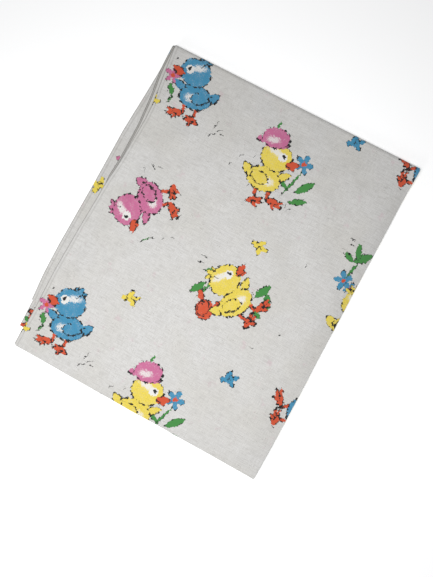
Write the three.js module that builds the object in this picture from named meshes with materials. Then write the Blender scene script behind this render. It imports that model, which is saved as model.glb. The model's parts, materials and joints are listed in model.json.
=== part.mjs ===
// A child's rectangular sheet sleeping bag of printed cotton, folded flat for storage.
//
// The bag is two cotton panels sewn together down both long sides and across the foot, and
// hemmed at the mouth. It is folded three times. The first fold is lengthwise and brings the
// two side seams together on the left, so that every layer of the packet is four plies thick:
// under panel, upper panel, upper panel, under panel. The second fold halves the length, and
// the third halves it again, which leaves four quarters one above another.
//
// From the bottom up the stack is: mouth quarter, foot quarter, knee quarter, chest quarter.
// The middle fold joins chest and knee at the front. At the back the inner fold joins knee to
// foot, and the outer fold wraps round it and joins chest to mouth. Opening the packet turns
// the chest and knee quarters up and over the back edge, about the axis of those two folds.
//
// Millimetres. +X is towards the lengthwise fold, +Y towards the back folds, +Z up. The origin
// is the middle of the packet, on the surface that it lies on.

import * as THREE from "three";

// Cloth
const PLY = 0.4; // one thickness of cotton
const AIR = 0.3; // the air left between two plies
const PITCH = PLY + AIR;
const PLIES = 4; // in one quarter
const QUARTER = PLIES * PITCH - AIR; // thickness of one quarter
const LIFT = QUARTER + AIR; // from one quarter to the next

// The packet
const WIDTH = 328;
const LENGTH = 401;
const RIGHT = WIDTH / 2; // the outside of the lengthwise fold
const BACK = LENGTH / 2; // the outside of the outer fold
const FRONT = -LENGTH / 2; // the outside of the middle fold
const MOUTH_END = -178; // where the mouth quarter stops
const FOOT_END = -144; // where the foot quarter stops

// Left edges, seen from above, as [y, x] points: the lower pair of quarters stands out past the
// upper pair, and meets it at the back folds.
const LOWER_EDGE = [[-178, -160], [-65, -164], [120, -159], [200, -157]];
const UPPER_EDGE = [[-200, -153.5], [-60, -150], [60, -143], [120, -142.5], [200, -154]];

// The front of the upper pair sags, first off the foot quarter's end and then off the mouth's.
const SAG = [[-200, 4.8], [-178, 2.6], [-144, 0]];

const SEAM_IN = 4; // the side seams' distance from the edge
const HEM_IN = 10; // the hem's and the foot seam's stitches from their ends
const THREAD = 0.2; // sewing thread

const BEND_STEPS = 6; // half a turn of a ply's lengthwise fold
const TURN_STEPS = 12; // half a turn of a cross fold
const SECTIONS = [-187, -178, -161, -144, -110, -65, -30, 0, 30, 60, 90, 120, 160]; // at these y

// Heights of the middle of each quarter, and of the axis that each cross fold turns about
const LAYERS = ["mouth", "foot", "knee", "chest"];
const midHeight = (layer) => QUARTER / 2 + LAYERS.indexOf(layer) * LIFT;
const BACK_AXIS_Z = (midHeight("foot") + midHeight("knee")) / 2;
const FRONT_AXIS_Z = (midHeight("knee") + midHeight("chest")) / 2 - SAG[0][1];
const BACK_AXIS_Y = BACK - (2 * QUARTER + 1.5 * AIR);
const FRONT_AXIS_Y = FRONT + QUARTER + AIR / 2;
const NEAR = midHeight("knee") - BACK_AXIS_Z; // a fold's axis to the middle of the nearer quarter
const FAR = midHeight("chest") - BACK_AXIS_Z; // and to the middle of the farther one

// A panel's two legs and its lengthwise fold, as half thicknesses from the quarter's middle
const BEND_X = RIGHT - QUARTER / 2;
const UNDER = { outer: QUARTER / 2, inner: QUARTER / 2 - PLY };
const UPPER = { outer: AIR / 2 + PLY, inner: AIR / 2 };
const BETWEEN = {
  outer: (UNDER.inner + UPPER.outer + THREAD) / 2,
  inner: (UNDER.inner + UPPER.outer - THREAD) / 2,
};

// Finishes
const cotton = { color: 0xdad9d6, roughness: 0.95, metalness: 0 };
const thread = { color: 0xe9e7e0, roughness: 0.7, metalness: 0 };

const packet = new THREE.Group();

// x at y on an edge that runs smoothly through [y, x] points
function along(points, y) {
  const next = points.findIndex((p) => p[0] >= y);
  if (next === 0) return points[0][1];
  if (next < 0) return points.at(-1)[1];
  const [[y0, x0], [y1, x1]] = points.slice(next - 1, next + 1);
  return THREE.MathUtils.lerp(x0, x1, THREE.MathUtils.smoothstep(y, y0, y1));
}

// The outline of a panel cut across: a long U lying on its side. Each point is [x, height],
// and x is null where the leg stops at the packet's left edge.
function hairpin({ outer, inner }) {
  const arc = (radius, from, to) =>
    Array.from({ length: BEND_STEPS + 1 }, (_, i) => {
      const angle = THREE.MathUtils.lerp(from, to, i / BEND_STEPS);
      return [BEND_X + radius * Math.cos(angle), radius * Math.sin(angle)];
    });
  return [
    [null, -outer],
    ...arc(outer, -Math.PI / 2, Math.PI / 2),
    [null, outer],
    [null, inner],
    ...arc(inner, Math.PI / 2, -Math.PI / 2),
    [null, -inner],
  ];
}

// The outline of a straight thread or strip
const bar = (x0, x1, low, high) => [[x0, low], [x1, low], [x1, high], [x0, high]];

// A closed solid through a row of cross sections, each a list of points with the same count.
// outline is the first section seen flat, counter-clockwise, and it makes the two end caps.
function loft(sections, outline) {
  const count = outline.length;
  const flat = outline.map(([x, h]) => new THREE.Vector2(x, h));
  const caps = THREE.ShapeUtils.triangulateShape(flat, []);
  const index = [];
  for (let s = 0; s + 1 < sections.length; s += 1) {
    for (let i = 0; i < count; i += 1) {
      const a = s * count + i;
      const b = s * count + ((i + 1) % count);
      index.push(a, b + count, b, a, a + count, b + count);
    }
  }
  const last = (sections.length - 1) * count;
  for (const [a, b, c] of caps) {
    index.push(a, b, c, last + a, last + c, last + b);
  }
  const geometry = new THREE.BufferGeometry();
  geometry.setAttribute("position", new THREE.Float32BufferAttribute(sections.flat(2), 3));
  geometry.setIndex(index);
  geometry.computeVertexNormals();
  return geometry;
}

function add(name, geometry, finish) {
  const mesh = new THREE.Mesh(geometry, new THREE.MeshStandardMaterial(finish));
  mesh.name = name;
  packet.add(mesh);
}

const steps = (from, to, count) =>
  Array.from({ length: count + 1 }, (_, i) => THREE.MathUtils.lerp(from, to, i / count));
const stations = (from, to) =>
  [from, ...SECTIONS.filter((y) => y > from + 1 && y < to - 1), to];

const isUpperPair = (layer) => layer === "knee" || layer === "chest";
const edgeOf = (layer) => (isUpperPair(layer) ? UPPER_EDGE : LOWER_EDGE);
const heightAt = (layer, y) => midHeight(layer) - (isUpperPair(layer) ? along(SAG, y) : 0);
const frontOf = (layer) =>
  ({ mouth: MOUTH_END, foot: FOOT_END, knee: FRONT_AXIS_Y + AIR, chest: FRONT_AXIS_Y + AIR })[layer];

// A run of an outline along the length of one quarter, its left end following the edge
function runAlong(layer, outline, from, to, inset = 0) {
  const edge = (y) => along(edgeOf(layer), y) + inset;
  const place = (y) =>
    outline.map(([x, h]) => [x === null ? edge(y) : x, y, heightAt(layer, y) + h]);
  const flat = outline.map(([x, h]) => [x === null ? edge(from) : x, h]);
  return loft(stations(from, to).map(place), flat);
}

// An outline turned half way round a cross fold's axis, at a distance of radius from it.
// way is +1 at the back and -1 at the front, and the left edge runs from one x to the other.
function turnRound(outline, axisY, axisZ, radius, way, fromX, toX) {
  const place = (angle) => {
    const edge = THREE.MathUtils.lerp(fromX, toX, angle / Math.PI);
    return outline.map(([x, h]) => {
      const reach = radius - h;
      const y = axisY + way * reach * Math.sin(angle);
      return [x === null ? edge : x, y, axisZ - reach * Math.cos(angle)];
    });
  };
  const turned = steps(0, Math.PI, TURN_STEPS).map(place);
  const flat = outline.map(([x, h]) => [x === null ? fromX : x, h]);
  return loft(way > 0 ? turned : turned.reverse(), flat);
}

// The panels of the four quarters
for (const layer of LAYERS) {
  const back = BACK_AXIS_Y - AIR;
  const run = (panel) => runAlong(layer, hairpin(panel), frontOf(layer), back);
  add(`under_panel_${layer}_quarter`, run(UNDER), cotton);
  add(`upper_panel_${layer}_quarter`, run(UPPER), cotton);
}

// The cross folds, where the same panels pass from one quarter to the next
const lowerBackX = along(LOWER_EDGE, BACK);
const upperBackX = along(UPPER_EDGE, BACK);
const upperFrontX = along(UPPER_EDGE, FRONT);
for (const [name, panel] of [["under_panel", UNDER], ["upper_panel", UPPER]]) {
  const atBack = (radius) =>
    turnRound(hairpin(panel), BACK_AXIS_Y, BACK_AXIS_Z, radius, 1, lowerBackX, upperBackX);
  add(`${name}_outer_fold`, atBack(FAR), cotton);
  add(`${name}_inner_fold`, atBack(NEAR), cotton);
  const atFront = turnRound(
    hairpin(panel), FRONT_AXIS_Y, FRONT_AXIS_Z, NEAR, -1, upperFrontX, upperFrontX,
  );
  add(`${name}_middle_fold`, atFront, cotton);
}

// Side seams: one thread through each pair of plies along the left edge
for (const layer of LAYERS) {
  for (const [side, sign] of [["left", 1], ["right", -1]]) {
    const [low, high] = [BETWEEN.inner * sign, BETWEEN.outer * sign].sort((a, b) => a - b);
    const seam = (y) => along(edgeOf(layer), y) + SEAM_IN;
    const outline = bar(0, THREAD, low, high);
    const place = (y) => outline.map(([x, h]) => [seam(y) + x, y, heightAt(layer, y) + h]);
    const front = frontOf(layer) + AIR;
    const back = BACK_AXIS_Y - 2 * AIR;
    const run = loft(stations(front, back).map(place), outline);
    add(`${side}_side_seam_${layer}_quarter`, run, thread);
  }
}

// The foot seam joins the two panels all the way across, round the lengthwise fold, and the
// mouth hem is stitched through each panel on its own.
const acrossInset = SEAM_IN + 1;
const footY = FOOT_END + HEM_IN;
const footSeam = runAlong("foot", hairpin(BETWEEN), footY, footY + THREAD, acrossInset);
add("foot_seam", footSeam, thread);
const hemY = MOUTH_END + HEM_IN;
const underHem = runAlong("mouth", hairpin(BETWEEN), hemY, hemY + THREAD, acrossInset);
add("mouth_hem_under_panel", underHem, thread);
const upperHem = bar(along(LOWER_EDGE, hemY) + acrossInset, BEND_X - 1, -THREAD / 2, THREAD / 2);
add("mouth_hem_upper_panel", runAlong("mouth", upperHem, hemY, hemY + THREAD), thread);

export default packet;
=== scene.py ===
"""The looks of a child's sheet sleeping bag of printed cotton, folded flat.

The bag is two panels of cotton sewn together, folded once lengthwise and then twice across. Every
panel is built as one thin cloth that follows the CAD frame's quarters and folds, with the soft
waves that hand-folded cotton keeps. The print is drawn by shader nodes in the cloth's own
millimetres, so it runs on round every fold.
"""

import json
import math

import bpy
import numpy as np
from mathutils import Euler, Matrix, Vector


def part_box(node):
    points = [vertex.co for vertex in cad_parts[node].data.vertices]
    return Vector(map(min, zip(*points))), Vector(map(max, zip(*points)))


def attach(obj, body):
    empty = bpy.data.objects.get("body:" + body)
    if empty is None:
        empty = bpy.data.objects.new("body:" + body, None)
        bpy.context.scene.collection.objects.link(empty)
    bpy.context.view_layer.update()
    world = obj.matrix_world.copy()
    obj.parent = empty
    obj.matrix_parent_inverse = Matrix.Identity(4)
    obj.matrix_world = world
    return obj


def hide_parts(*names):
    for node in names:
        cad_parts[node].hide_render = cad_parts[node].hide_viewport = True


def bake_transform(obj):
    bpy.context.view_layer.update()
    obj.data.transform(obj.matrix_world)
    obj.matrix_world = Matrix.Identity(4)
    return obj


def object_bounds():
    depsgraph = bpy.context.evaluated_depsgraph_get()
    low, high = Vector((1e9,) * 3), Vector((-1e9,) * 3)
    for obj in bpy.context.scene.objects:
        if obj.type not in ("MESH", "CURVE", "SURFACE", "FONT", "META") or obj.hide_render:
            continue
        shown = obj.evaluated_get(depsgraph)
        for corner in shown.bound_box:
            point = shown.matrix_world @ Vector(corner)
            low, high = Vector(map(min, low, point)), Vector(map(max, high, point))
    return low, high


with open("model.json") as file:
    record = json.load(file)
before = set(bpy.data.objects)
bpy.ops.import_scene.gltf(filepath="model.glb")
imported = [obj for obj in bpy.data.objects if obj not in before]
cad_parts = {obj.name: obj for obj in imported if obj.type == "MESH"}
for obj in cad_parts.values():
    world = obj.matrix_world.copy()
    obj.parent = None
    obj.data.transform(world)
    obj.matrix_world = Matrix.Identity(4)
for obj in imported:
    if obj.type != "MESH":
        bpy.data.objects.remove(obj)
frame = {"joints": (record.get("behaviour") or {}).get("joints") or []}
CAD_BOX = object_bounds()
MM = 0.001

LOWER_BODY = "mouth_and_foot_quarters"
UPPER_BODY = "knee_and_chest_quarters"

# ---------------------------------------------------------------------------------------------
# Where the frame puts the cloth
# ---------------------------------------------------------------------------------------------

PLY = 0.4 * MM  # one thickness of cotton
QUARTERS = ("mouth", "foot", "knee", "chest")
AXIS_Y, AXIS_Z = frame["joints"][0]["pos_m"][1:]


def panel_box(panel, quarter):
    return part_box(f"{panel}_panel_{quarter}_quarter")


STACK = panel_box("under", "mouth")[1].z - panel_box("under", "mouth")[0].z
TOP = {q: panel_box("under", q)[1].z for q in QUARTERS}
MIDDLE = {q: TOP[q] - STACK / 2 for q in QUARTERS}
RIGHT = panel_box("under", "chest")[1].x
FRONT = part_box("under_panel_middle_fold")[0].y
MOUTH_END = panel_box("under", "mouth")[0].y
FOOT_END = panel_box("under", "foot")[0].y
BEND_X = RIGHT - STACK / 2

# A panel's half height from the middle of its quarter, at the middle of the cloth
UNDER_HALF = STACK / 2 - PLY / 2
UPPER_HALF = panel_box("upper", "mouth")[1].z - MIDDLE["mouth"] - PLY / 2
NEAR = MIDDLE["knee"] - AXIS_Z
FAR = MIDDLE["chest"] - AXIS_Z
FRONT_RADIUS = (MIDDLE["chest"] - MIDDLE["knee"]) / 2
FRONT_AXIS_Y = FRONT + FRONT_RADIUS + STACK / 2
FRONT_AXIS_Z = (MIDDLE["chest"] + MIDDLE["knee"]) / 2

# The print's own origin, from the middle of the packet
PRINT_X = 4.8 * MM

# ---------------------------------------------------------------------------------------------
# How the cloth lies
# ---------------------------------------------------------------------------------------------

# Left edges seen from above, as (y, x) in millimetres. Each quarter has two pairs of plies, the
# near one on the side of the print that shows and the far one behind it.
LEFT_EDGES = {
    ("chest", "near"): [
        (-200, -153.6), (-166, -151), (-148, -150.2), (-100, -151.2), (-36, -149.4),
        (15, -147.5), (47, -144), (98, -142.4), (120, -142.3), (148, -146.8), (198, -154),
    ],
    ("chest", "far"): [
        (-200, -148), (-60, -141), (0, -145), (22, -149.6), (50, -147.6), (98, -147.9),
        (130, -150.5), (166, -156.4), (198, -156.6),
    ],
    ("knee", "near"): [(-200, -147), (-60, -140), (60, -141), (130, -146), (198, -154.5)],
    ("knee", "far"): [(-200, -147), (-60, -141), (60, -140), (130, -145), (198, -154)],
    ("foot", "near"): [
        (-144, -161), (-107, -163.8), (-65, -164), (9, -162.4), (80, -162.2), (122, -159.6),
        (160, -158), (198, -157),
    ],
    ("foot", "far"): [(-144, -159.5), (-65, -162.5), (80, -160.5), (198, -156.5)],
    ("mouth", "far"): [(-178, -159.8), (-140, -160.8), (-65, -162.6), (80, -160), (198, -156)],
    ("mouth", "near"): [(-178, -158.8), (-65, -161.5), (80, -159.5), (198, -155.5)],
}
EDGE_SOFTNESS = 9 * MM

# The fall of the upper pair of quarters in front of the ends that it lies on, as (y, mm)
FALL = [(-201, 4.9), (-190, 4.0), (-178, 2.5), (-160, 1.0), (-144, 0)]


def ramp(value, low, high):
    t = np.clip((np.asarray(value, float) - low) / (high - low), 0, 1)
    return t * t * (3 - 2 * t)


def softened(points, y, softness=EDGE_SOFTNESS):
    """A line through (y, value) points in millimetres, rounded at its corners, in metres."""
    ys, values = np.array(points, float).T * MM
    offsets = np.linspace(-softness, softness, 9)
    return np.mean([np.interp(y + o, ys, values) for o in offsets], axis=0)


def mound(x, y, centre, size, turn=0.0):
    """A smooth mound of height 1. centre and size are in millimetres and turn in degrees."""
    c, s = math.cos(math.radians(turn)), math.sin(math.radians(turn))
    dx, dy = x / MM - centre[0], y / MM - centre[1]
    along, across = c * dx + s * dy, c * dy - s * dx
    return np.exp(-((along / size[0]) ** 2) - (across / size[1]) ** 2)


# Broad hollows and swells of the top: (height in mm, centre, size, turn)
SWELLS = [
    (1.2, (-20, -40), (120, 90), 20),
    (0.9, (60, 90), (80, 60), -30),
    (-1.9, (-124, 30), (11, 90), -6),
    (1.2, (-104, 45), (13, 90), -8),
    (-0.7, (-60, 140), (60, 14), 25),
    (-0.6, (20, -120), (110, 16), 12),
    (0.7, (110, -60), (30, 90), 12),
    (-0.6, (85, 30), (14, 90), 24),
    (0.8, (-132, -80), (22, 60), 0),
]
LIFTED = (2.4, (-33, -205), (88, 22), 0)  # the front edge arches up off the table here
LIP = (1.5, 2, 6)  # the top pair's left edge curls up: height, distance in from it, and width
FULLNESS = 2.6  # mm that the middle of the packet stands above its edges
PRESSED = [(0.2, 24), (0.24, 8)]  # how much thinner the lengthwise fold is, over this many mm
RIPPLES = 26
RIPPLE_MM = 0.09
RIPPLE_LENGTHS = (14, 70)  # mm


def ripples(x, y):
    """Small uneven waves, as a sum of plain ones in every direction."""
    rng = np.random.default_rng(11)
    total = np.zeros_like(x)
    for _ in range(RIPPLES):
        lowest, highest = (0, RIPPLE_LENGTHS[0], 0), (math.pi, RIPPLE_LENGTHS[1], 2 * math.pi)
        heading, length, phase = rng.uniform(lowest, highest)
        run = (x * math.cos(heading) + y * math.sin(heading)) / (length * MM)
        total += np.sin(2 * math.pi * run + phase) * length / 40
    return total * RIPPLE_MM


def curled(x, y, z):
    """How far the top pair of plies stands up along its left edge."""
    height, inset, width = (value * MM for value in LIP)
    away = (x - softened(LEFT_EDGES["chest", "near"], y) - inset) / width
    is_top = ramp(z - MIDDLE["chest"], -PLY / 2, PLY / 2)
    ends = ramp(y - FRONT, 0, 25 * MM) * ramp(AXIS_Y - y, 0, 30 * MM)
    return height * np.exp(-away * away) * is_top * ends


def settle(points, quarter):
    """Takes cloth from the flat stack to how it lies: fuller, waved, and thinner at its edges."""
    x, y, z = points[..., 0], points[..., 1], points[..., 2]
    height = z / TOP["chest"]
    waves = sum(h * mound(x, y, centre, size, turn) for h, centre, size, turn in SWELLS)
    inside = ramp(RIGHT - x, 0, 26 * MM) * ramp(x - CAD_BOX[0][0], 4 * MM, 40 * MM)
    inside *= ramp(y - FRONT, 0, 30 * MM) * ramp(AXIS_Y - y, 0, 70 * MM)
    thin = sum(share * (1 - ramp(RIGHT - x, 0, width * MM)) for share, width in PRESSED)
    thin *= ramp(y, -180 * MM, 60 * MM)
    thin *= ramp(AXIS_Y - y, 2 * MM, 30 * MM)
    calm = ramp(AXIS_Y - y, 0, 20 * MM)
    risen = z * (1 - thin) + height * (inside * (FULLNESS + waves) + calm * ripples(x, y)) * MM
    if quarter in ("knee", "chest"):
        height_mm, centre, size, turn = LIFTED
        fall = softened(FALL, y, 5 * MM)
        risen = risen - fall + height * height_mm * MM * mound(x, y, centre, size, turn)
        risen += curled(x, y, z)
    return np.stack([x, y, risen], axis=-1)


# ---------------------------------------------------------------------------------------------
# The cloth's pieces
# ---------------------------------------------------------------------------------------------

LEG_STEP = {"under": 4 * MM, "upper": 8 * MM}
ROW_STEP = {"under": 4 * MM, "upper": 8 * MM}
BEND_STEPS = 8
CURL_STEPS = 5
TURN_STEPS = 14
UPPER_INSET = 1.4 * MM  # how far inside the under panel's curled edge the upper panel ends
FOOT_INSET = 0.4 * MM  # how far inside the frame's foot end the cloth ends
HALF = {"under": UNDER_HALF, "upper": UPPER_HALF}

# Which side of the quarter's middle the near pair is on
NEAR_SIGN = {"chest": 1, "foot": 1, "knee": -1, "mouth": -1}


def crossways(panel, quarter, y, half):
    """One row across a panel at y: its x, its height from the quarter's middle, and its run.

    It starts at the left edge of the near pair, goes round the lengthwise fold, and ends at the
    left edge of the far pair. The under panel's edges curl in and close the side seams.
    """
    xs, heights = [], []
    count = int(2 * BEND_X / LEG_STEP[panel])
    for which in ("near", "far"):
        left = softened(LEFT_EDGES[quarter, which], y)
        x, height = [], []
        curl = max((half - UPPER_HALF) / 2, 0.02 * MM)
        if panel == "under":
            angle = np.linspace(math.pi, 0, CURL_STEPS, endpoint=False)
            x.append(left + curl - curl * np.sin(angle))
            height.append(half - curl + curl * np.cos(angle))
        else:
            left = left + UPPER_INSET
        t = np.linspace(0, 1, count) ** 1.15
        x.append(left + curl + (BEND_X - left - curl) * t)
        height.append(np.full(count, half))
        x, height = np.concatenate(x), np.concatenate(height)
        xs.append(x if which == "near" else x[::-1])
        heights.append(height if which == "near" else -height[::-1])
    angle = np.linspace(0, math.pi, BEND_STEPS + 1)[1:-1]
    xs.insert(1, BEND_X + half * np.sin(angle))
    heights.insert(1, half * np.cos(angle))
    x, height = np.concatenate(xs), np.concatenate(heights)
    run = np.concatenate([[0], np.cumsum(np.hypot(np.diff(x), np.diff(height)))])
    first_leg = len(xs[0]) - 1
    return x, height, x[first_leg] - PRINT_X + run - run[first_leg]


def quarter_rows(panel, quarter, ys, closed_end=False):
    """Rows of cloth along one quarter, from the first y to the last."""
    rows = []
    ends = [(y, HALF[panel]) for y in ys]
    if closed_end and panel == "under":
        curl = (UNDER_HALF - UPPER_HALF) / 2
        angles = np.linspace(math.pi, 0, CURL_STEPS, endpoint=False)
        turned = [
            (ys[0] - curl * math.sin(a), UNDER_HALF - curl + curl * math.cos(a)) for a in angles
        ]
        ends = turned + ends
    for y, half in ends:
        x, height, across = crossways(panel, quarter, y, half)
        z = MIDDLE[quarter] + NEAR_SIGN[quarter] * height
        rows.append((np.stack([x, np.full_like(x, y), z], axis=-1), across))
    points = settle(np.array([r[0] for r in rows]), quarter)
    return points, np.array([r[1] for r in rows])


def turned_rows(panel, lower, upper, axis_y, axis_z, radius, way):
    """Rows of cloth half way round a cross fold, from its first row to its last."""
    x0, height, across = crossways(panel, lower, axis_y, HALF[panel])
    x1 = crossways(panel, upper, axis_y, HALF[panel])[0]
    reach = radius - NEAR_SIGN[lower] * height
    rows = []
    for angle in np.linspace(0, math.pi, TURN_STEPS + 1):
        t = angle / math.pi
        x = x0 * (1 - t) + x1 * t
        y = axis_y + way * reach * math.sin(angle)
        rows.append(np.stack([x, y, axis_z - reach * math.cos(angle)], axis=-1))
    return np.array(rows), np.tile(across, (len(rows), 1))


def spaced(start, end, step):
    return np.linspace(start, end, max(2, round(abs(end - start) / step) + 1))


def lengthways(points, start, way):
    """The cloth's own coordinate along the bag, measured down the middle of the piece."""
    middle = points[:, points.shape[1] // 4]
    steps = np.linalg.norm(np.diff(middle, axis=0), axis=1)
    return start + way * np.concatenate([[0], np.cumsum(steps)])


def thick_sheet(name, points, across, along, right_side_up):
    """A closed thin sheet round a grid of points, which carries the cloth's coordinates:
    across the bag, along it, and in from its sewn edge."""
    rows, columns = points.shape[:2]
    d_row, d_column = np.gradient(points, axis=0), np.gradient(points, axis=1)
    normal = np.cross(d_column, d_row)
    normal /= np.maximum(np.linalg.norm(normal, axis=-1, keepdims=True), 1e-12)
    front, back = points + normal * PLY / 2, points - normal * PLY / 2
    vertices = np.concatenate([front.reshape(-1, 3), back.reshape(-1, 3)])
    grid = np.arange(rows * columns).reshape(rows, columns)
    faces = np.stack([grid[:-1, :-1], grid[:-1, 1:], grid[1:, 1:], grid[1:, :-1]], axis=-1)
    faces = faces.reshape(-1, 4)
    other = rows * columns
    rim = np.concatenate([grid[0], grid[1:, -1], grid[-1, -2::-1], grid[-2:0:-1, 0]])
    after = np.roll(rim, -1)
    sides = np.stack([after, rim, rim + other, after + other], axis=-1)
    mesh = bpy.data.meshes.new(name)
    everything = np.concatenate([faces, faces[:, ::-1] + other, sides])
    mesh.from_pydata(vertices.tolist(), [], everything.tolist())
    from_seam = np.minimum(across - across[:, :1], across[:, -1:] - across)
    along = np.broadcast_to(along[:, None], across.shape)
    cloth = np.stack([across, along, from_seam], axis=-1).reshape(-1, 3) / MM
    attribute = mesh.attributes.new("cloth", "FLOAT_VECTOR", "POINT")
    attribute.data.foreach_set("vector", np.concatenate([cloth, cloth]).ravel())
    side = np.zeros(2 * other)
    side[:other] = 1.0 if right_side_up else 0.0
    side[other:] = 0.0 if right_side_up else 1.0
    mesh.attributes.new("right_side", "FLOAT", "POINT").data.foreach_set("value", side)
    mesh.polygons.foreach_set("use_smooth", np.ones(len(mesh.polygons), bool))
    mesh.set_sharp_from_angle(angle=math.radians(60))
    mesh.update()
    piece = bpy.data.objects.new(name, mesh)
    bpy.context.scene.collection.objects.link(piece)
    return piece


def cover(piece, nodes):
    """Makes a piece of cloth stand for its CAD nodes."""
    piece.data.materials.append(cotton)
    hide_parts(*nodes)


# ---------------------------------------------------------------------------------------------
# Materials
# ---------------------------------------------------------------------------------------------


class Nodes:
    """Adds nodes to a tree one after another, each taking sockets or plain values."""

    def __init__(self, tree):
        self.tree = tree

    def add(self, kind, inputs=(), **settings):
        node = self.tree.nodes.new(kind)
        for key, value in settings.items():
            setattr(node, key, value)
        for key, value in dict(inputs).items():
            if isinstance(value, bpy.types.NodeSocket):
                self.tree.links.new(value, node.inputs[key])
            else:
                node.inputs[key].default_value = value
        return node

    def math(self, operation, *values):
        node = self.add("ShaderNodeMath", enumerate(values), operation=operation)
        return node.outputs[0]

    def vector(self, operation, *values):
        node = self.add("ShaderNodeVectorMath", enumerate(values), operation=operation)
        return node.outputs["Value" if operation in ("LENGTH", "DISTANCE") else "Vector"]

    def blend(self, amount, a, b, kind="RGBA"):
        """a where amount is 0, and b where it is 1: colours, or vectors if kind says so."""
        first = {"VECTOR": 4, "RGBA": 6}[kind]
        inputs = {0: amount, first: a, first + 1: b}
        return self.add("ShaderNodeMix", inputs, data_type=kind).outputs[first // 2 - 1]

    def noise(self, vector, scale, detail=2.0, roughness=0.5):
        inputs = {"Vector": vector, "Scale": scale, "Detail": detail, "Roughness": roughness}
        return self.add("ShaderNodeTexNoise", inputs).outputs[0]

    def between(self, value, low, high, to_low=0.0, to_high=1.0):
        node = self.add(
            "ShaderNodeMapRange",
            enumerate((value, low, high, to_low, to_high)),
            interpolation_type="SMOOTHSTEP",
        )
        return node.outputs[0]

    def placed(self, vector, centre, size, turn):
        """The vector as seen from a shape: its centre at 0 and its edge at 1."""
        inputs = {
            "Vector": vector,
            "Location": (*centre, 0),
            "Rotation": (0, 0, math.radians(turn)),
            "Scale": (*size, 1),
        }
        return self.add("ShaderNodeMapping", inputs, vector_type="TEXTURE").outputs[0]


def linear(red, green, blue):
    """A colour from its sRGB values out of 255."""
    def channel(value):
        value /= 255
        return value / 12.92 if value <= 0.04045 else ((value + 0.055) / 1.055) ** 2.4
    return (channel(red), channel(green), channel(blue), 1.0)


INKS = {
    "blue": linear(60, 140, 178),
    "yellow": linear(230, 208, 82),
    "pink": linear(200, 108, 150),
    "orange": linear(208, 78, 42),
    "green": linear(62, 138, 62),
    "black": linear(9, 9, 12),
    "white": linear(232, 230, 226),
}

# The print repeats at these distances, and a repeat starts at REPEAT_START. Its shapes are in
# millimetres: centre, half length and half width, and degrees of turn.
REPEAT = (406, 305)
REPEAT_START = (-180, -98)

# A duckling that faces left
LEGS = [((-3, -20), (1.8, 8), 14), ((12, -20), (1.8, 8), -4)]
FEET = [
    ((-9, -29), (7.5, 3.8), 14), ((-16, -29.5), (4.2, 1.9), -16), ((-15, -32.5), (4.6, 1.9), 18),
    ((-9.5, -33), (3.8, 1.8), 58),
    ((12, -30), (7.0, 3.6), -12), ((5.5, -28.5), (4.0, 1.7), -36), ((5.5, -31.5), (4.4, 1.7), -2),
    ((10, -34), (3.8, 1.7), 50),
]
TAIL = ((25, 2), (9, 5.0), 52)
BODY = ((6, -6), (19.0, 12.8), 14)
NECK = ((-1, 6), (9.5, 8.0), 0)
HEAD = ((-4, 19), (17.6, 15.0), 4)
CREST = [((0, 35), (5.5, 2.6), 62), ((5, 34), (4.8, 2.2), 28), ((-4, 35), (4.2, 2.0), 100)]
FOREWING = ((-14, -1), (10, 4.2), -22)
WING = ((11, -5), (10.5, 6.4), 22)
LIGHTS = [((-2, 25), (13, 5.5), 20), ((2, -8), (12, 7), 10)]
EYE_PATCH = ((-11.0, 20.0), (5.0, 4.6), 10)
EYE = ((-12.0, 20.4), (1.6, 2.6), -14)
BILL = [((-20.5, 10.5), (5.5, 2.4), 24), ((-23, 14.0), (8.0, 3.8), -8)]
FOLDS = [((16, -8), (5, 0.5), 40), ((10, -12), (5, 0.5), 8), ((1, 29), (4, 0.5), 60)]

# Where each duckling stands: centre, turn, which way it faces, and its colour
DUCKLINGS = [
    ((-119, 160), 0, 1, "blue"),
    ((6, 114), 16, -1, "yellow"),
    ((-105, 17), 124, 1, "pink"),
    ((40, -26), 75, -1, "yellow"),
    ((176, 10), 30, -1, "yellow"),
    ((174, -105), -72, 1, "blue"),
    ((174, 200), -72, 1, "blue"),
]
DUCKLING_SIZE = 1.08
DUCKLING_REACH = 46  # how far from its centre its shapes reach

FLOWERS = [
    ((-148, 166), 10.5, 20, "pink"), ((37, 142), 11.5, 10, "blue"), ((141, 46), 11.5, 48, "blue"),
    ((152, 42), 8, 10, "blue"),
]
BONNET = [((-5, 155), (17, 12), 18)]
BRIM = [((-20, 147), (6.0, 3.6), 10), ((-8, 146.5), (7.5, 4.4), 22), ((7, 151), (6.5, 4.0), 30)]
LEAVES = [
    ((-144, 150), (8, 3.4), 118), ((-141, 139), (6, 0.9), 62),
    ((-8, 171), (4.5, 1.8), 75),
    ((34, 116), (20, 1.5), 74), ((50, 118), (13, 4.4), 50), ((50, 100), (12, 3.4), 26),
    ((24, 112), (9, 3.0), 150),
    ((8, -31), (19, 1.5), 70), ((-2, -38), (11, 4.2), 58), ((1, -14), (8, 2.2), 30),
    ((66, -8), (12, 4.6), 62), ((76, -16), (10, 3.8), -58), ((71, -33), (9, 3.0), -30),
    ((144, 60), (14, 1.4), 78), ((150, 79), (13, 4.6), 44), ((141, 82), (10, 3.6), 112),
    ((134, 72), (8, 3.0), 160), ((-83, -19), (7, 0.9), 50),
]
TULIPS = [
    ((17, -57), (10.5, 11.5), 20), ((6, -45), (7.5, 3.2), 130), ((28, -46), (7.0, 3.6), 62),
]
TULIP_PETAL = ((15, -56), (6.5, 9.5), 10)
BIRDS = [
    ((37, 35), -20, "yellow"), ((-63.5, -86), 12, "yellow"), ((-161, 128), 70, "yellow"),
    ((80, 192), 20, "blue"),
]
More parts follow.
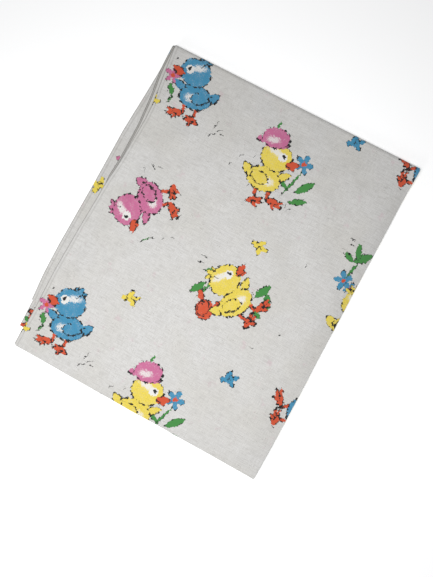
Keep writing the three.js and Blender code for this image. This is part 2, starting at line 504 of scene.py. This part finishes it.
BIRD = [
    ((0, 0), (7.4, 3.6), 10), ((-7, -1), (3.4, 3.0), 0), ((-1, 4.5), (5.6, 2.8), 62),
    ((3, -4), (5.4, 2.6), -58), ((8, 2), (4.2, 2.2), 40),
]
BIRD_REACH = 12
TICKS = [
    ((-77, 137), (6, 0.4), 70), ((-71, 132), (4.6, 0.4), 35), ((-76, 126), (3, 0.5), 20),
    ((-66, 129), (2.6, 0.4), 8), ((-80, 123), (2.6, 0.5), 60),
    ((-17, 104), (3.4, 0.45), 110), ((-11, 101), (3, 0.45), 125), ((-11, 93), (3.2, 0.45), 95),
    ((-6, 94), (2.4, 0.45), 80), ((-36, 117), (2.4, 0.5), 95), ((-34, 119), (1.8, 0.5), 40),
    ((-20, 124), (2.2, 0.5), 50), ((-13, 130), (1.8, 0.45), 70), ((-42, 104), (2.0, 0.45), 90),
    ((40, 90), (3, 0.45), 100), ((45, 88), (3.4, 0.45), 35), ((36, 86), (2.6, 0.5), 60),
    ((-64, 22), (2.6, 0.45), 110), ((-62, 25), (2.0, 0.45), 80),
    ((-120, 60), (4.6, 0.4), 150), ((-128, 52), (4.0, 0.4), 120), ((-113, 63), (3.4, 0.4), 175),
    ((-76, -13), (2.4, 0.55), 35), ((-66, -9), (2.4, 0.5), 70), ((-56, -2), (2.6, 0.45), 20),
    ((-13, -4), (5, 0.45), 4), ((-13, -11), (4.4, 0.5), 12), ((-150, 186), (2, 0.45), 60),
    ((130, 86), (4.6, 0.4), 10), ((128, 92), (4.0, 0.4), -6),
    ((95, 40), (2.0, 0.45), 80), ((106, -42), (2.2, 0.45), 50), ((86, -70), (2.0, 0.45), 15),
]


def make_print():
    """A node group: cloth millimetres and bare cloth in, the printed colour out."""
    group = bpy.data.node_groups.new("duckling_print", "ShaderNodeTree")
    group.interface.new_socket("Cloth", in_out="INPUT", socket_type="NodeSocketVector")
    group.interface.new_socket("Ground", in_out="INPUT", socket_type="NodeSocketColor")
    group.interface.new_socket("Color", in_out="OUTPUT", socket_type="NodeSocketColor")
    n = Nodes(group)
    start = group.nodes.new("NodeGroupInput")
    end = group.nodes.new("NodeGroupOutput")
    low = (*REPEAT_START, -1)
    high = (REPEAT_START[0] + REPEAT[0], REPEAT_START[1] + REPEAT[1], 1)
    flat = n.vector("WRAP", start.outputs["Cloth"], high, low)

    # Hand-drawn: the edges wander, the brush presses harder in places, and the ink is dry
    wanders = [
        n.between(n.noise(n.vector("ADD", flat, (shift, 0, 0)), 0.36, 3.0), 0.1, 0.9, -1.9, 1.9)
        for shift in (0, 500)
    ]
    wander = n.add("ShaderNodeCombineXYZ", enumerate(wanders)).outputs[0]
    drawn = n.vector("MULTIPLY", n.vector("ADD", flat, wander), (1, 1, 0))
    brush = n.between(n.noise(flat, 0.2, 3.0, 0.6), 0.42, 0.62, 0.0, 2.0)
    dry = n.noise(flat, 0.9, 3.0, 0.75)
    wash = n.between(n.noise(flat, 0.16, 2.0), 0.4, 0.65)

    def reach_of(at, form, pointed=False):
        """How far out a point is from the middle of a shape, with 1 at its edge."""
        seen = n.placed(at, *form)
        if not pointed:
            return n.vector("LENGTH", seen)
        x, y = n.add("ShaderNodeSeparateXYZ", {0: seen}).outputs[:2]
        return n.math("ADD", n.math("MULTIPLY", x, x), n.math("ABSOLUTE", y))

    def shape(color, at, form, ink, outline=0.0, pointed=False):
        """Paints one shape over what is there, with a brush outline that comes and goes."""
        reach = reach_of(at, form, pointed)
        color = n.blend(n.math("LESS_THAN", reach, 1.0), color, ink)
        if outline:
            width = n.math("MULTIPLY", brush, outline / min(form[1]))
            color = n.blend(n.math("COMPARE", reach, 1.0, width), color, INKS["black"])
        return color

    def dabbed(ink, at=None, light=None, strength=1.0):
        """Ink that lets the cloth through in dry strokes, most of all round a light place."""
        bare = n.between(dry, 0.52, 0.72)
        bare = n.math("MULTIPLY", bare, wash)
        if light:
            glow = n.between(reach_of(at, light), 0.3, 1.15, 0.34, 0.0)
            bare = n.math("MAXIMUM", bare, n.between(n.math("ADD", dry, glow), 0.62, 0.86))
        return n.blend(n.math("MULTIPLY", bare, strength), ink, INKS["white"])

    def nearest(places, limit):
        """Each motif is drawn once: this gives the place and colour of the one nearby."""
        at, ink = (1000.0, 0.0, 0.0), INKS["white"]
        for centre, turn, size, name in places:
            seen = n.placed(drawn, centre, size, turn)
            close = n.math("LESS_THAN", n.vector("LENGTH", seen), limit)
            at = n.blend(close, at, seen, "VECTOR")
            ink = n.blend(close, ink, INKS[name])
        return at, ink

    def wait_for(color, at):
        """The same place, but only once this colour is known, so fewer values are held at once."""
        return n.vector("MULTIPLY_ADD", color, (1e-9, 1e-9, 1e-9), at)

    color = start.outputs["Ground"]
    for form in TICKS:
        color = shape(color, drawn, form, INKS["black"])
    drawn = wait_for(color, drawn)
    for form in LEAVES:
        outline = 0.35 if form[1][1] > 2 else 0.25
        color = shape(color, drawn, form, INKS["green"], outline, pointed=True)
    drawn = wait_for(color, drawn)
    petals = dabbed(INKS["orange"], strength=0.35)
    for form in TULIPS:
        color = shape(color, drawn, form, petals, outline=0.5)
    rim = n.math("COMPARE", reach_of(drawn, TULIP_PETAL), 1.0, 0.07)
    color = n.blend(rim, color, INKS["black"])

    for centre, radius, turn, ink in FLOWERS:
        seen = n.placed(drawn, centre, (radius, radius), turn)
        x, y = n.add("ShaderNodeSeparateXYZ", {0: seen}).outputs[:2]
        lobes = n.math("COSINE", n.math("MULTIPLY", n.math("ARCTAN2", y, x), 2.5))
        petal = n.math("MULTIPLY_ADD", n.math("ABSOLUTE", lobes), 0.68, 0.32)
        reach = n.vector("LENGTH", seen)
        inked = dabbed(INKS[ink], strength=0.6)
        color = n.blend(n.math("LESS_THAN", reach, petal), color, inked)
        edge = n.math("COMPARE", reach, petal, n.math("MULTIPLY", brush, 0.04))
        color = n.blend(edge, color, INKS["black"])
        color = n.blend(n.math("LESS_THAN", reach, 0.22), color, INKS["orange"])

    drawn = wait_for(color, drawn)
    at, ink = nearest([(c, t, (1, 1), name) for c, t, name in BIRDS], BIRD_REACH)
    for form in BIRD:
        color = shape(color, at, form, ink, outline=0.3)

    size = DUCKLING_SIZE
    places = [(c, t, (facing * size, size), name) for c, t, facing, name in DUCKLINGS]
    at, ink = nearest(places, DUCKLING_REACH)
    mottle = n.between(dry, 0.3, 0.7, 1.2, 0.78)
    ink = n.add("ShaderNodeVectorMath", {0: ink, "Scale": mottle}, operation="SCALE").outputs[0]
    for form in LEGS + FEET:
        color = shape(color, at, form, INKS["orange"], outline=0.45)
    for form in [*CREST, TAIL, FOREWING]:
        color = shape(color, at, form, dabbed(ink, strength=0.7), outline=0.5, pointed=True)
    color = shape(color, at, BODY, dabbed(ink, at, LIGHTS[1]), outline=0.5)
    color = shape(color, at, NECK, ink)
    color = shape(color, at, HEAD, dabbed(ink, at, LIGHTS[0]), outline=0.5)
    color = shape(color, at, WING, dabbed(ink, strength=0.9), outline=0.5)
    for form in FOLDS:
        color = shape(color, at, form, INKS["black"])
    color = shape(color, at, EYE_PATCH, INKS["white"])
    color = shape(color, at, EYE, INKS["black"])
    for form in BILL:
        color = shape(color, at, form, INKS["orange"], outline=0.45, pointed=True)
    bonnet = dabbed(INKS["pink"], drawn, ((-7, 152), (12, 6), 18), 0.9)
    for form in BRIM + BONNET:
        color = shape(color, drawn, form, bonnet, outline=0.5)
    n.tree.links.new(color, end.inputs["Color"])
    return group


WARP_PITCH = 0.5  # mm from one thread to the next
WEFT_PITCH = 0.55
SEAM_LINE = 4.5  # mm of cloth from the sewn edge to its stitches
COTTON = linear(222, 221, 219)
COTTON_WARM = linear(217, 215, 210)


def make_cotton():
    """Plain-weave cotton: uneven threads, faint smudges of ink, and the print on one side."""
    material = bpy.data.materials.new("printed_cotton")
    material.use_nodes = True
    tree = material.node_tree
    tree.nodes.clear()
    n = Nodes(tree)
    place = n.add("ShaderNodeAttribute", attribute_name="cloth").outputs["Vector"]
    cloth = n.vector("MULTIPLY", place, (1, 1, 0))
    side = n.add("ShaderNodeAttribute", attribute_name="right_side").outputs["Fac"]

    # Slubs run along the weft, across the bag
    weft = n.vector("MULTIPLY", cloth, (0.07, 1.1, 1))
    warp = n.vector("MULTIPLY", cloth, (1.3, 0.12, 1))
    slubs = n.noise(weft, 1.0, 3.0, 0.6)
    threads = n.noise(warp, 1.0, 2.0, 0.6)
    grain = n.noise(cloth, 1.6, 3.0, 0.7)
    patches = n.noise(cloth, 0.018, 2.0)
    tone = n.between(n.math("ADD", slubs, n.math("MULTIPLY", threads, 0.5)), 0.55, 0.95)
    ground = n.blend(n.between(patches, 0.35, 0.7), COTTON, COTTON_WARM)
    between_threads = n.math("MULTIPLY", n.math("SUBTRACT", 1.0, tone), 0.75)
    ground = n.blend(between_threads, ground, linear(190, 188, 184))
    fleck = n.between(n.math("ADD", slubs, n.math("MULTIPLY", grain, 0.6)), 0.93, 1.0)
    ground = n.blend(n.math("MULTIPLY", fleck, 0.85), ground, linear(150, 146, 140))
    smudge = n.between(n.noise(cloth, 0.05, 4.0, 0.65), 0.6, 0.72)
    ground = n.blend(n.math("MULTIPLY", smudge, 0.16), ground, INKS["pink"])

    # Painted shade: the colour is darkened in a narrow band along the sewn edge, and along the line
    # of its stitches, where shade would fall
    from_edge = n.add("ShaderNodeSeparateXYZ", {0: place}).outputs[2]
    off_seam = n.math("ABSOLUTE", n.math("SUBTRACT", from_edge, SEAM_LINE))
    seam = n.between(off_seam, 0.2, 1.2, 1.0, 0.0)
    rim = n.between(from_edge, 0.8, 1.9, 1.0, 0.0)
    painted_edge_shade = n.math("MAXIMUM", n.math("MULTIPLY", seam, 0.3), rim)
    # painted shade along the edge band and the stitch line, blended into the cloth's colour
    ground = n.blend(n.math("MULTIPLY", painted_edge_shade, 0.75), ground, linear(124, 121, 116))

    printed = n.add("ShaderNodeGroup", node_tree=print_group)
    tree.links.new(cloth, printed.inputs["Cloth"])
    tree.links.new(ground, printed.inputs["Ground"])
    shown = n.between(side, 0.4, 0.6, 0.14, 0.97)
    color = n.blend(shown, ground, printed.outputs["Color"])

    # The weave itself, and the slubs, as bumps
    lines = n.add("ShaderNodeSeparateXYZ", {0: cloth})
    over = n.math("SINE", n.math("MULTIPLY", lines.outputs[0], 2 * math.pi / WARP_PITCH))
    under = n.math("SINE", n.math("MULTIPLY", lines.outputs[1], 2 * math.pi / WEFT_PITCH))
    weave = n.math("MULTIPLY", n.math("MULTIPLY", over, under), 0.25)
    relief = n.math("ADD", weave, n.math("ADD", slubs, n.math("MULTIPLY", grain, 0.6)))
    relief = n.math("SUBTRACT", relief, n.math("MULTIPLY", seam, 1.5))
    crease = n.noise(cloth, 0.045, 4.0, 0.62)
    fine = n.add("ShaderNodeBump", {"Height": relief, "Strength": 0.5, "Distance": 0.00012})
    broad = n.add(
        "ShaderNodeBump",
        {"Height": crease, "Strength": 0.4, "Distance": 0.0008, "Normal": fine.outputs[0]},
    )
    inputs = {
        "Base Color": color,
        "Roughness": n.between(grain, 0.3, 0.7, 0.86, 0.96),
        "Normal": broad.outputs[0],
    }
    shader = n.add("ShaderNodeBsdfPrincipled", inputs)
    shader.inputs["Specular IOR Level"].default_value = 0.2
    shader.inputs["Sheen Weight"].default_value = 0.12
    shader.inputs["Sheen Roughness"].default_value = 0.6
    out = n.add("ShaderNodeOutputMaterial")
    tree.links.new(shader.outputs[0], out.inputs[0])
    return material


def make_thread():
    """White sewing thread, with its twist."""
    material = bpy.data.materials.new("sewing_thread")
    material.use_nodes = True
    tree = material.node_tree
    tree.nodes.clear()
    n = Nodes(tree)
    place = n.add("ShaderNodeNewGeometry").outputs["Position"]
    twist = n.noise(n.vector("MULTIPLY", place, (900, 300, 900)), 6.0, 2.0)
    shade = n.between(twist, 0.35, 0.65)
    inputs = {
        "Base Color": n.blend(shade, linear(236, 233, 226), linear(205, 201, 192)),
        "Roughness": n.between(twist, 0.3, 0.7, 0.55, 0.75),
        "Normal": n.add("ShaderNodeBump", {"Height": twist, "Distance": 0.0001}).outputs[0],
    }
    shader = n.add("ShaderNodeBsdfPrincipled", inputs)
    out = n.add("ShaderNodeOutputMaterial")
    tree.links.new(shader.outputs[0], out.inputs[0])
    return material


print_group = make_print()
cotton = make_cotton()
thread = make_thread()

# ---------------------------------------------------------------------------------------------
# Building
# ---------------------------------------------------------------------------------------------

UPPER_PARTS = ("knee_quarter", "middle_fold", "chest_quarter")


def build_panel(panel):
    """All the pieces of one panel. The print faces out of the bag. On an under panel that is the
    front of the grid, except on the mouth's stretch and the outer turn, whose rows run the other
    way, and an upper panel is the opposite."""
    step = ROW_STEP[panel]
    outside = panel == "under"

    knee, across = quarter_rows(panel, "knee", spaced(AXIS_Y, FRONT_AXIS_Y, step))
    chest, _ = quarter_rows(panel, "chest", spaced(FRONT_AXIS_Y, AXIS_Y, step))
    middle, _ = turned_rows(
        panel, "knee", "chest", FRONT_AXIS_Y, FRONT_AXIS_Z, FRONT_RADIUS, -1
    )
    t = np.linspace(0, 1, len(middle))[:, None]
    knee_drop = knee[-1, :, 2] - middle[0, :, 2]
    chest_drop = chest[0, :, 2] - middle[-1, :, 2]
    middle[..., 2] += knee_drop * (1 - t) + chest_drop * t
    points = np.concatenate([knee, middle[1:-1], chest])
    across = np.tile(across[:1], (len(points), 1))
    along = lengthways(points, 0, 1)
    chest_start = len(points) - len(chest)
    along += chest[0, 0, 1] - along[chest_start]
    knee_start, chest_end = along[0], along[-1]
    pair = thick_sheet(f"{panel}_panel_knee_to_chest", points, across, along, outside)
    cover(pair, [f"{panel}_panel_{part}" for part in UPPER_PARTS])
    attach(pair, UPPER_BODY)

    folds, fold_ends = [], {}
    for name, lower, upper, radius, start, way in (
        ("outer", "mouth", "chest", FAR, chest_end, 1),
        ("inner", "foot", "knee", NEAR, knee_start, -1),
    ):
        points, across = turned_rows(panel, lower, upper, AXIS_Y, AXIS_Z, radius, 1)
        run = lengthways(points[::-1], start, way)
        fold_ends[name] = run[-1]
        printed = outside == (name == "inner")
        fold = thick_sheet(f"{panel}_panel_{name}_turn", points, across, run[::-1], printed)
        cover(fold, [f"{panel}_panel_{name}_fold"])
        folds.append(fold)
        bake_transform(fold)

    for quarter, first, start, way, rests_on in (
        ("mouth", MOUTH_END, fold_ends["outer"], 1, "table"),
        ("foot", FOOT_END, fold_ends["inner"], -1, f"{panel}_panel_mouth"),
    ):
        ys = spaced(first + (FOOT_INSET if quarter == "foot" else 0), AXIS_Y, step)
        points, across = quarter_rows(panel, quarter, ys, closed_end=quarter == "foot")
        run = lengthways(points[::-1], start, way)[::-1]
        printed = outside == (quarter == "foot")
        piece = thick_sheet(f"{panel}_panel_{quarter}", points, across, run, printed)
        cover(piece, [f"{panel}_panel_{quarter}_quarter"])
        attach(piece, LOWER_BODY)


THREAD_RADIUS = 0.1 * MM
THREAD_SIDES = 5
THREAD_GAP = 0.12  # share of a stitch's pitch that is free at each end
THREAD_END = 0.4  # a stitch's ends, as a share of its radius


def stitches(name, paths, nodes, body):
    """A row of stitches: short threads end to end along each path."""
    vertices, faces = [], []
    for path in paths:
        for start, end in zip(path[:-1], path[1:]):
            gap = (end - start) * THREAD_GAP
            a, b = start + gap, end - gap
            along = (b - a) / np.linalg.norm(b - a)
            side = np.cross(along, (0, 0, 1.0))
            side /= np.linalg.norm(side)
            up = np.cross(side, along)
            tip = along * THREAD_RADIUS
            rings = [(a, THREAD_END), (a + tip, 1), (b - tip, 1), (b, THREAD_END)]
            first = len(vertices)
            for at, size in rings:
                for k in range(THREAD_SIDES):
                    angle = 2 * math.pi * k / THREAD_SIDES
                    offset = side * math.cos(angle) + up * math.sin(angle)
                    vertices.append(at + offset * THREAD_RADIUS * size)
            last = len(vertices) - THREAD_SIDES
            for ring in range(first, last, THREAD_SIDES):
                for k in range(THREAD_SIDES):
                    p, q = ring + k, ring + (k + 1) % THREAD_SIDES
                    faces.append((p, p + THREAD_SIDES, q + THREAD_SIDES, q))
            faces.append(tuple(first + k for k in range(THREAD_SIDES)))
            faces.append(tuple(last + k for k in reversed(range(THREAD_SIDES))))
    mesh = bpy.data.meshes.new(name)
    mesh.from_pydata([tuple(v) for v in vertices], [], faces)
    mesh.polygons.foreach_set("use_smooth", np.ones(len(mesh.polygons), bool))
    piece = bpy.data.objects.new(name, mesh)
    bpy.context.scene.collection.objects.link(piece)
    piece.data.materials.append(thread)
    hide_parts(*nodes)
    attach(piece, body)


STITCH = 3 * MM
SEAM_IN = 4 * MM
SEAM_CLEAR = (2 * MM, 1 * MM)  # how far a side seam stops from a quarter's front and back ends
CROSS_CLEAR = (9 * MM, 2 * MM)  # how far a cross seam stops from the left edge and the fold
BETWEEN = (UNDER_HALF + UPPER_HALF) / 2  # the seams' height, between the two panels


def seam_path(quarter, which, ys):
    """The line of a side seam along one pair's left edge."""
    x = softened(LEFT_EDGES[quarter, which], ys) + SEAM_IN
    sign = NEAR_SIGN[quarter] * (1 if which == "near" else -1)
    z = np.full_like(ys, MIDDLE[quarter] + sign * BETWEEN)
    return settle(np.stack([x, ys, z], axis=-1), quarter)


def build_seams():
    """The stitches of both side seams, a row for each quarter."""
    ends = {"mouth": MOUTH_END, "foot": FOOT_END, "knee": FRONT_AXIS_Y, "chest": FRONT_AXIS_Y}
    for quarter in QUARTERS:
        ys = spaced(ends[quarter] + SEAM_CLEAR[0], AXIS_Y - SEAM_CLEAR[1], STITCH)
        body = UPPER_BODY if quarter in ("knee", "chest") else LOWER_BODY
        for which in ("near", "far"):
            upper_pair = (NEAR_SIGN[quarter] > 0) == (which == "near")
            node = f"{'left' if upper_pair else 'right'}_side_seam_{quarter}_quarter"
            path = seam_path(quarter, which, ys)
            stitches(f"{which}_side_stitches_{quarter}", [path], [node], body)


def cross_seam(name, quarter, y, heights, nodes):
    """Rows of stitches across the bag at y, one at each height from the quarter's middle."""
    xs = spaced(CAD_BOX[0][0] + CROSS_CLEAR[0], BEND_X - CROSS_CLEAR[1], STITCH)
    paths = []
    for height in heights:
        points = np.stack([xs, np.full_like(xs, y), np.full_like(xs, MIDDLE[quarter] + height)], -1)
        paths.append(settle(points, quarter))
    stitches(name, paths, nodes, LOWER_BODY)


HEM_IN = 10 * MM
for panel_name in ("under", "upper"):
    build_panel(panel_name)
build_seams()
cross_seam("foot_seam_stitches", "foot", FOOT_END + HEM_IN, (BETWEEN, -BETWEEN), ["foot_seam"])
cross_seam(
    "mouth_hem_stitches", "mouth", MOUTH_END + HEM_IN, (BETWEEN, -BETWEEN),
    ["mouth_hem_under_panel"],
)
cross_seam("inner_hem_stitches", "mouth", MOUTH_END + HEM_IN, (0,), ["mouth_hem_upper_panel"])

# ---------------------------------------------------------------------------------------------
# The stage
# ---------------------------------------------------------------------------------------------


TABLE_HALF = 3  # metres
TABLE_DROP = 0.2 * MM  # keeps the table's face clear of the cloth


def make_table():
    """A wide pale table that glows a little, so that it is as white as a lit backdrop."""
    corners = [(x * TABLE_HALF, y * TABLE_HALF, 0) for x, y in ((-1, -1), (1, -1), (1, 1), (-1, 1))]
    mesh = bpy.data.meshes.new("table")
    mesh.from_pydata(corners, [], [(0, 1, 2, 3)])
    table = bpy.data.objects.new("table", mesh)
    bpy.context.scene.collection.objects.link(table)
    table.location.z = -TABLE_DROP
    material = bpy.data.materials.new("pale_table")
    material.use_nodes = True
    shader = material.node_tree.nodes["Principled BSDF"]
    shader.inputs["Base Color"].default_value = (0.9, 0.9, 0.9, 1)
    shader.inputs["Roughness"].default_value = 0.9
    shader.inputs["Emission Color"].default_value = (1, 1, 1, 1)
    shader.inputs["Emission Strength"].default_value = 0.32
    mesh.materials.append(material)


def add_light(name, place, target, size, watts):
    data = bpy.data.lights.new(name, "AREA")
    data.shape = "DISK"
    data.size = size
    data.energy = watts
    light = bpy.data.objects.new(name, data)
    light.location = place
    direction = Vector(target) - Vector(place)
    light.rotation_euler = direction.to_track_quat("-Z", "Y").to_euler()
    bpy.context.scene.collection.objects.link(light)


make_table()
add_light("window", (-0.35, -2.4, 1.35), (0, 0, 0), 0.9, 10)
add_light("overhead", (-0.02, -0.14, 0.66), (-0.02, -0.14, 0), 0.3, 3.6)

world = bpy.data.worlds.new("room")
world.use_nodes = True
world.node_tree.nodes["Background"].inputs[0].default_value = (0.97, 0.98, 1, 1)
world.node_tree.nodes["Background"].inputs[1].default_value = 0.25
bpy.context.scene.world = world

camera = bpy.data.objects.new("camera", bpy.data.cameras.new("camera"))
camera.data.sensor_width = 36
camera.data.lens = 29.3
camera.location = (56.9 * MM, -36.9 * MM, 546 * MM)
camera.rotation_euler = Euler([math.radians(a) for a in (2.30, 2.71, 28.39)])
bpy.context.scene.collection.objects.link(camera)
bpy.context.scene.camera = camera
bpy.context.scene.view_settings.view_transform = "Standard"
